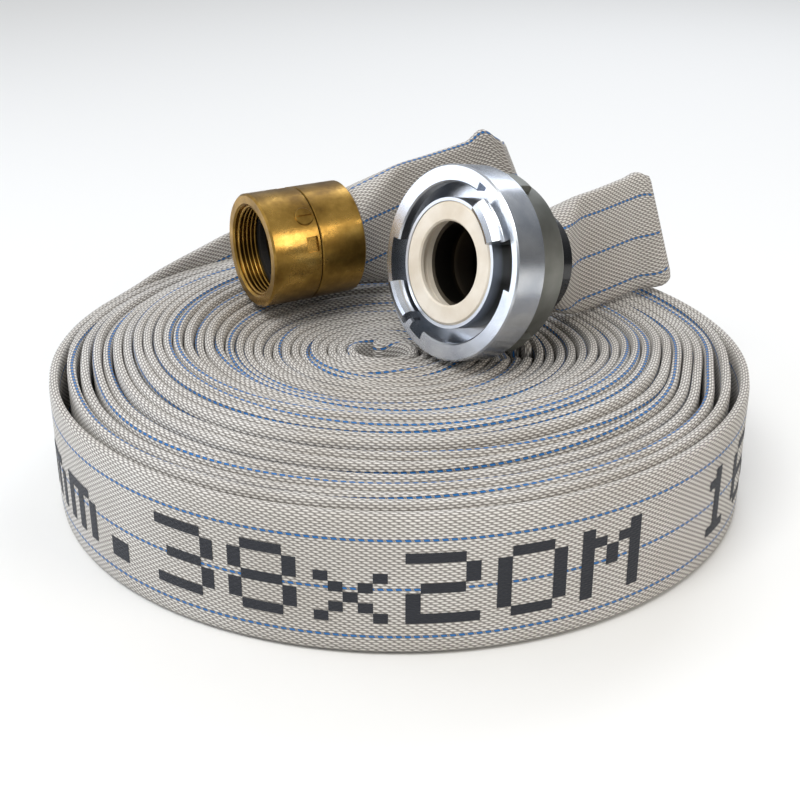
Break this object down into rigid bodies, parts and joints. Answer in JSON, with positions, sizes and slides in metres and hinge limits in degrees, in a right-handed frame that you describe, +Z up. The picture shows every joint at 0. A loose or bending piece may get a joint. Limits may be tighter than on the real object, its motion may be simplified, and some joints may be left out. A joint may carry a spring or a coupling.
{
  "type": "rolled fire hose",
  "caption": "Lay-flat woven fire hose, doubled and rolled, with an aluminium claw coupling on one end and a swivelling brass thread coupling on the other.",
  "frame": {"origin": "centre of the roll's outline on the surface that it lies on", "axes": "+Z up, along the roll's axis; -Y is the front, where the couplings' faces point to the front left"},
  "size_m": [0.3484, 0.3546, 0.1639],
  "materials": {
    "woven_jacket": "woven polyester, off-white with blue warp threads",
    "rubber_lining": "smooth",
    "turned_aluminium": "turned bright",
    "cast_aluminium": "forged, grey",
    "seal_rubber": "cream, satin",
    "sleeve_rubber": "glossy black",
    "gasket_rubber": "matt black",
    "slide_plastic": "natural nylon",
    "spring_steel": "drawn wire",
    "cast_brass": "cast and polished"
  },
  "bodies": {
    "hose": {"hose_roll": "woven_jacket", "hose_outer_turn": "woven_jacket", "hose_second_turn": "woven_jacket", "brass_hose_end": "woven_jacket", "storz_hose_end": "woven_jacket", "brass_end_lining": "rubber_lining", "storz_end_lining": "rubber_lining", "storz_tail_pipe": "cast_aluminium", "storz_face_seal": "seal_rubber", "storz_snap_ring": "spring_steel", "storz_slide_ring": "slide_plastic", "storz_binding_wire": "spring_steel", "storz_binding_sleeve": "sleeve_rubber", "brass_bowl": "cast_brass", "tail_gasket": "gasket_rubber", "expansion_ring": "cast_brass"},
    "storz_ring": {"storz_claw_ring": "turned_aluminium"},
    "brass_nut": {"brass_swivel_nut": "cast_brass", "ball_filler_plug": "cast_brass", "nut_gasket": "gasket_rubber"},
    "bearing_balls": {"bearing_balls": "spring_steel"}
  },
  "joints": [
    {"name": "storz_ring_turn", "type": "hinge", "parent": "hose", "child": "storz_ring", "pos_m": [0.03838, -0.00495, 0.11341], "axis": [0.7671, 0.608, -0.2045], "continuous": true},
    {"name": "brass_nut_turn", "type": "hinge", "parent": "hose", "child": "brass_nut", "pos_m": [-0.05972, 0.04914, 0.105], "axis": [0.8704, 0.4924, 0], "continuous": true},
    {"name": "ball_orbit", "type": "hinge", "parent": "hose", "child": "bearing_balls", "pos_m": [-0.05972, 0.04914, 0.105], "axis": [0.8704, 0.4924, 0], "continuous": true}
  ],
  "couplings": [
    {"joint": "ball_orbit", "follows": "brass_nut_turn", "ratio": 0.5}
  ]
}
